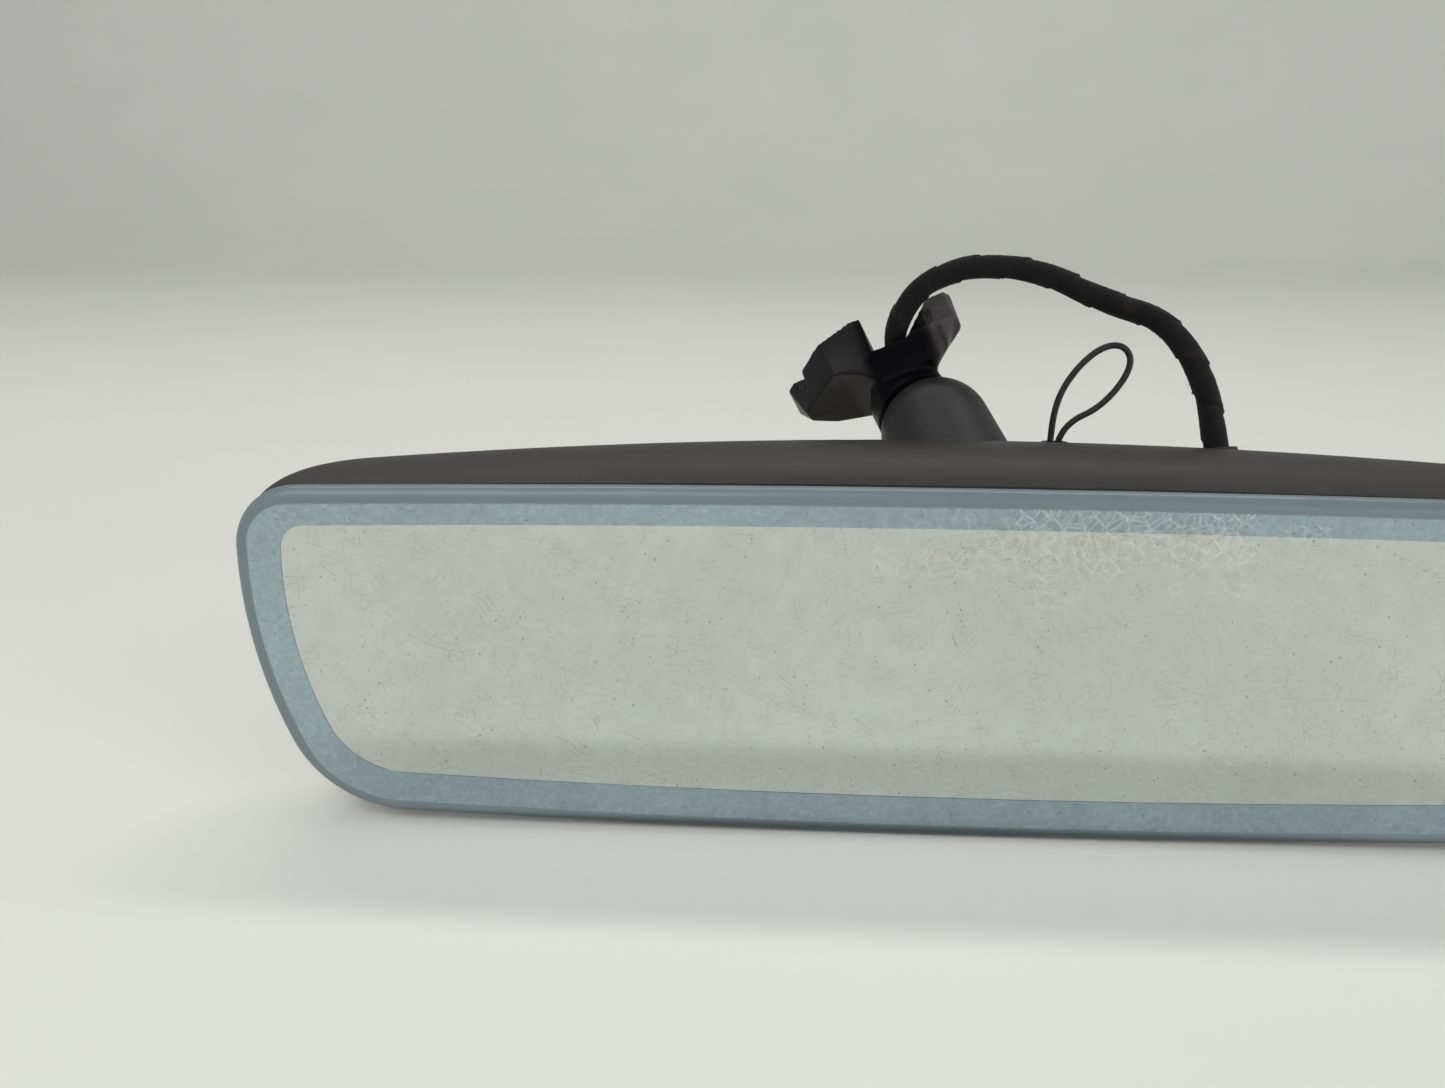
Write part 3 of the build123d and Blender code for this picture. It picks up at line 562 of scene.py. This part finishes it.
# ---- cords ----------------------------------------------------------------------------------------------
HARNESS_D = 0.0041
LOOP_D = 0.0011
HARNESS_CUTS = (0.28, 0.55)           # shares of the harness's length where one piece gives way to the next
HARNESS_EXIT = at(0.0440, 0.0216, 0.0339)
HARNESS_WAY = Vector((-0.09, 0.36, 0.93)).normalized()
PLUG_TOP = at(-0.0016, 0.0616, 0.0196)
HARNESS_ROUTE = [
    HARNESS_EXIT - HARNESS_WAY * 0.0046,
    HARNESS_EXIT + HARNESS_WAY * 0.0065,
    at(0.0410, 0.0274, 0.0476),
    at(0.0356, 0.0315, 0.0550),
    at(0.0260, 0.0364, 0.0574),
    at(0.0155, 0.0396, 0.0624),
    at(0.0050, 0.0410, 0.0632),
    at(-0.0018, 0.0410, 0.0618),
    at(-0.0074, 0.0412, 0.0582),
    at(-0.0102, 0.0422, 0.0522),
    on_foot(0.0020, 0.0050, 0.0182),
    on_foot(0.0030, -0.0040, 0.0179),
    on_foot(0.0030, -0.0175, 0.0179),
    PLUG_TOP + Vector((0, 0, 0.0058)),
    PLUG_TOP,
]
LOOP_ROUTE = [
    at(0.0151, 0.0200, 0.0334),
    at(0.0150, 0.0203, 0.0388),
    at(0.0161, 0.0208, 0.0440),
    at(0.0190, 0.0214, 0.0486),
    at(0.0228, 0.0218, 0.0518),
    at(0.0262, 0.0219, 0.0520),
    at(0.0280, 0.0217, 0.0492),
    at(0.0260, 0.0212, 0.0448),
    at(0.0224, 0.0208, 0.0410),
    at(0.0184, 0.0204, 0.0392),
    at(0.0162, 0.0201, 0.0358),
    at(0.0161, 0.0201, 0.0334),
]
# the bodies that each length of the harness hangs between, and where it starts and stops bending
HARNESS_BENDS = [
    ("shell", "head", at(0.0345, 0.0318, 0.0545), at(0.0435, 0.0235, 0.0390)),
    ("liner", "shell", at(0.0070, 0.0408, 0.0620), at(0.0330, 0.0330, 0.0555)),
    ("mount", "liner", at(-0.0100, 0.0450, 0.0480), at(0.0025, 0.0410, 0.0620)),
]
LINE_STEPS = 48                       # points that the smooth line has for each of the route's
LOOP_STEPS = 24
HARNESS_AROUND = 56                   # points round a tube
LOOP_AROUND = 20
LOOP_LUMP = 0.00003

TAPE_PITCH = 0.0088                   # along the cord, from one edge of the tape to the next
TAPE_THICK = 0.00012                  # how far the cord's own skin lies below its nominal size
TAPE_LIP = 0.00028                    # how far an edge stands up
TAPE_EDGE = 0.05                      # share of a turn over which it rises
TAPE_CURL = 0.00035
TAPE_SWELL = 0.00012
TAPE_WRINKLE = 0.00004
THREADS = (85, 85, 110)               # loose threads on each length
THREAD_LENGTH = (0.0004, 0.0011)
THREAD_THICK = 0.00004
THREAD_ROOT = 0.0001                  # how deep a thread starts
THREAD_CLEAR = 8                      # rings without threads at the ends
THREAD_SEED = 4


def route_line(name, route, steps):
    """Points of the smooth line through a route."""
    data = bpy.data.curves.new(name, "CURVE")
    data.dimensions = "3D"
    data.resolution_u = steps
    spline = data.splines.new("NURBS")
    spline.points.add(len(route) - 1)
    for point, place in zip(spline.points, route):
        point.co = (*place, 1)
    spline.order_u = 3
    spline.use_endpoint_u = True
    made = bpy.data.objects.new(name, data)
    bpy.context.scene.collection.objects.link(made)
    bpy.context.view_layer.update()
    flat = bpy.data.meshes.new_from_object(made)
    line = [v.co.copy() for v in flat.vertices]
    bpy.data.objects.remove(made)
    bpy.data.meshes.remove(flat)
    return line


def lengths(line):
    """Distance along a line at each of its points."""
    run = [0.0]
    for a, b in zip(line, line[1:]):
        run.append(run[-1] + (b - a).length)
    return run


def frames(line):
    """Along, side and up directions at each point, turning as little as possible."""
    made = []
    side = None
    for i in range(len(line)):
        along = (line[min(i + 1, len(line) - 1)] - line[max(i - 1, 0)]).normalized()
        if side is None:
            side = along.orthogonal().normalized()
        side = (side - along * side.dot(along)).normalized()
        made.append((along, side, along.cross(side)))
    return made


def tape_radius(run, turn):
    """Radius of the taped harness: each turn of tape laps over the last with a slightly ragged lip."""
    ragged = 0.05 * noise.noise(Vector((run * 900, 3 * cos(turn), 3 * sin(turn))))
    uneven = 0.25 * noise.noise(Vector((run * 60, 5, 1)))
    lap = (run / TAPE_PITCH + turn / (2 * pi) + ragged + uneven) % 1.0
    lip = min(lap / TAPE_EDGE, 1.0) * (1 - lap) ** 0.7
    curl = max(0.0, 1 - abs(lap - TAPE_EDGE) / TAPE_EDGE)
    curl *= max(0.0, noise.noise(Vector((run * 700, 4 * cos(turn), 9 * sin(turn)))))
    swell = TAPE_SWELL * noise.noise(Vector((run * 110, cos(turn), sin(turn))))
    wrinkle = TAPE_WRINKLE * noise.noise(Vector((run * 1500, 2 * cos(turn), 2 * sin(turn))))
    return HARNESS_D / 2 - TAPE_THICK + TAPE_LIP * lip + TAPE_CURL * curl + swell + wrinkle


def tube(line, turns, around, radius):
    """Points and faces of a closed tube round a line; radius gives its size at a ring and an angle."""
    points, faces = [], []
    for i, (place, (_, side, up)) in enumerate(zip(line, turns)):
        for k in range(around):
            turn = 2 * pi * k / around
            out = side * cos(turn) + up * sin(turn)
            points.append(place + out * radius(i, turn))
    for i in range(len(line) - 1):
        low, high = i * around, (i + 1) * around
        for k in range(around):
            after = (k + 1) % around
            faces.append((low + k, low + after, high + after, high + k))
    faces.append(tuple(reversed(range(around))))
    faces.append(tuple((len(line) - 1) * around + k for k in range(around)))
    return points, faces


def fibre(points, faces, start, way, length, thickness):
    """Adds one loose thread, as a thin three-sided spike."""
    side = way.orthogonal().normalized()
    other = way.cross(side)
    base = len(points)
    for k in range(3):
        turn = 2 * pi * k / 3
        points.append(start + (side * cos(turn) + other * sin(turn)) * thickness)
    points.append(start + way * length)
    faces.extend([(base, base + 1, base + 3), (base + 1, base + 2, base + 3), (base + 2, base, base + 3),
                  (base + 2, base + 1, base)])


def taped_tube(name, line, runs, turns, threads):
    """Closed tube with the tape's windings along a stretch of the harness's line."""
    points, faces = tube(line, turns, HARNESS_AROUND, lambda i, turn: tape_radius(runs[i], turn))
    unrolled = []
    for low, high in zip(runs, runs[1:]):
        for k in range(HARNESS_AROUND):
            left, right = k / HARNESS_AROUND, (k + 1) / HARNESS_AROUND
            unrolled.extend([(left, low), (right, low), (right, high), (left, high)])
    unrolled.extend([(0, runs[0])] * HARNESS_AROUND + [(0, runs[-1])] * HARNESS_AROUND)
    for _ in range(threads):
        i = random.randrange(THREAD_CLEAR, len(line) - THREAD_CLEAR)
        along, side, up = turns[i]
        turn = random.uniform(0, 2 * pi)
        out = side * cos(turn) + up * sin(turn)
        start = line[i] + out * (tape_radius(runs[i], turn) - THREAD_ROOT)
        way = (out * random.uniform(0.15, 0.8) + along * random.uniform(-1, 1)
               + out.cross(along) * random.uniform(-1, 1)).normalized()
        before = len(faces)
        fibre(points, faces, start, way, random.uniform(*THREAD_LENGTH), THREAD_THICK)
        for face in faces[before:]:
            unrolled.extend([(turn / (2 * pi), runs[i])] * len(face))
    made = mesh_object(name, points, faces)
    layer = made.data.uv_layers.new(name="tape")
    for corner, place in zip(layer.data, unrolled):
        corner.uv = place
    return made


def nearest(values, wanted):
    return min(range(len(values)), key=lambda i: abs(values[i] - wanted))


def harness():
    """The taped harness, in three lengths that take the place of the three hidden harness nodes."""
    line = route_line("harness_route", HARNESS_ROUTE, LINE_STEPS)
    runs = lengths(line)
    turns = frames(line)
    cuts = [0] + [nearest(runs, share * runs[-1]) for share in HARNESS_CUTS] + [len(line) - 1]
    look = tape_look()
    random.seed(THREAD_SEED)
    made = []
    names = ("tape_at_casing", "tape_middle", "tape_at_foot")
    for name, low, high, threads in zip(names, cuts, cuts[1:], THREADS):
        keep = slice(low, high + 1)
        piece = taped_tube(name, line[keep], runs[keep], turns[keep], threads)
        piece.data.materials.append(look)
        made.append((piece, line[keep], runs[high] - runs[low]))
    replaced = ("harness_at_casing", "harness_middle", "harness_at_foot")
    exits = (HARNESS_EXIT, line[cuts[1]], line[cuts[2]])
    for (piece, path, length), bend, node, leaves in zip(made, HARNESS_BENDS, replaced, exits):
        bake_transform(piece)
        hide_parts(node)


def loop():
    """Thin wire that comes out of the casing, loops and goes back in."""
    line = route_line("loop_route", LOOP_ROUTE, LOOP_STEPS)
    runs = lengths(line)

    def radius(i, turn):
        return LOOP_D / 2 + LOOP_LUMP * noise.noise(Vector((runs[i] * 500, cos(turn), sin(turn))))

    made = mesh_object("wire_loop", *tube(line, frames(line), LOOP_AROUND, radius))
    made.data.materials.append(sleeve_look())
    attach(made, "head")
    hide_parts("loop_wire")


# ---- frame pieces, and the foot ---------------------------------------------------------------------------
WELD_REACH = 0.000005
BEVEL_ANGLE = 25.0                     # edges sharper than this are rounded
SOFTENED = (("harness_plug", 0.00025), ("plug_latch", 0.0002))
RING_GAP = 0.00002
FOOT_VOXEL = 0.0003
FOOT_EDGE_ROUNDS = 5
FOOT_SADDLE_ROUNDS = 110
SADDLE_MIDDLE = (2.0, 2.0, 12.8)       # of the smooth saddle under the channel, in the foot's directions, mm
SADDLE_HALF = (11.0, 12.0, 4.9)
SADDLE_EDGE = 1.15                     # where its smoothing stops, and how steeply it fades there
SADDLE_FADE = 2.2
HOLLOW_SPAN = (-7.5, 8.5)              # where the front of the saddle is hollowed, across the foot, mm
# the hollow's profile: up the foot, and how far the front may stand out there, mm
HOLLOW = [(10.0, 5.8), (11.5, 6.4), (12.8, 7.4), (14.0, 8.9), (15.0, 10.8), (15.6, 12.5)]
# fillet between the wing's underside and the neck, in the foot's directions, mm
FILLET = [(5.6, 8.0, 11.4), (5.6, -7.0, 11.4), (12.5, -4.8, 14.5), (12.5, 8.8, 14.5),
          (5.6, 8.6, 15.2), (5.6, -7.6, 15.2), (12.5, -5.2, 15.2), (12.5, 9.0, 15.2)]
BLOCK_FACES = [(0, 1, 2, 3), (7, 6, 5, 4), (0, 4, 5, 1), (1, 5, 6, 2), (2, 6, 7, 3), (3, 7, 4, 0)]
DOME_CLEAR = 0.01045                   # the foot stays at least this far from the ball's centre


def weld(made):
    """Joins the split edges that a CAD node's mesh has."""
    made.modifiers.new("weld", "WELD").merge_threshold = WELD_REACH


def soften(name, width):
    """Rounds a CAD node's sharp edges."""
    made = NODES[name]
    weld(made)
    bevel = made.modifiers.new("bevel", "BEVEL")
    bevel.width = width
    bevel.segments = 3
    bevel.limit_method = "ANGLE"
    bevel.angle_limit = radians(BEVEL_ANGLE)
    bevel.harden_normals = True


def set_back(name, gap):
    """Draws a piece in by a hair, so that its face does not lie exactly on the glass's."""
    made = NODES[name].modifiers.new("set_back", "DISPLACE")
    made.mid_level = 0.0
    made.strength = -gap


def settled(made):
    """A copy of an object's mesh with its modifiers applied."""
    bpy.context.view_layer.update()
    graph = bpy.context.evaluated_depsgraph_get()
    return bpy.data.meshes.new_from_object(made.evaluated_get(graph), depsgraph=graph)


def on_saddle(local):
    """How strongly a place on the foot is smoothed, from 0 to 1."""
    far = sum(((a - b) / half) ** 2 for a, b, half in zip(local, SADDLE_MIDDLE, SADDLE_HALF))
    return max(0.0, min(1.0, SADDLE_FADE * (SADDLE_EDGE - far)))


def past_hollow(local):
    """How far a place on the foot stands out past the saddle's hollow, in mm."""
    if not (HOLLOW_SPAN[0] < local[0] < HOLLOW_SPAN[1] and HOLLOW[0][0] < local[2] < HOLLOW[-1][0]):
        return 0.0
    low, high = next(pair for pair in zip(HOLLOW, HOLLOW[1:]) if local[2] <= pair[1][0])
    share = (local[2] - low[0]) / (high[0] - low[0])
    return max(0.0, local[1] - (low[1] + (high[1] - low[1]) * share))


def foot():
    """The foot's moulding, with rounded edges and a saddle that flows into the neck, wing and ear."""
    made = bpy.data.objects.new("foot_body", NODES["mount_bracket"].data.copy())
    bpy.context.scene.collection.objects.link(made)
    both = bmesh.new()
    both.from_mesh(made.data)
    corners = [both.verts.new(on_foot(*(MM * c for c in corner))) for corner in FILLET]
    block = [both.faces.new([corners[i] for i in face]) for face in BLOCK_FACES]
    bmesh.ops.recalc_face_normals(both, faces=block)
    both.to_mesh(made.data)
    both.free()
    weld(made)
    remesh = made.modifiers.new("remesh", "REMESH")
    remesh.mode = "VOXEL"
    remesh.voxel_size = FOOT_VOXEL
    made.data = settled(made)
    made.modifiers.clear()
    saddle = made.vertex_groups.new(name="saddle")
    for v in made.data.vertices:
        away = v.co - BALL
        local = [away.dot(axis) / MM for axis in (FOOT_X, FOOT_Y, FOOT_Z)]
        v.co -= FOOT_Y * past_hollow(local) * MM
        saddle.add([v.index], on_saddle(local), "REPLACE")
    edges = made.modifiers.new("edges", "SMOOTH")
    edges.iterations = FOOT_EDGE_ROUNDS
    flow = made.modifiers.new("flow", "SMOOTH")
    flow.iterations = FOOT_SADDLE_ROUNDS
    flow.vertex_group = "saddle"
    made.data = settled(made)
    made.modifiers.clear()
    made.vertex_groups.clear()
    for v in made.data.vertices:
        away = v.co - BALL
        if away.length < DOME_CLEAR:
            v.co = BALL + away.normalized() * DOME_CLEAR
    made.data.shade_smooth()
    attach(made, "mount")
    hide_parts("mount_bracket")


camera()
floor()
lights()
dress_frame()
harness()
loop()
foot()
for node_name, edge in SOFTENED:
    soften(node_name, edge)
set_back("chrome_ring", RING_GAP)
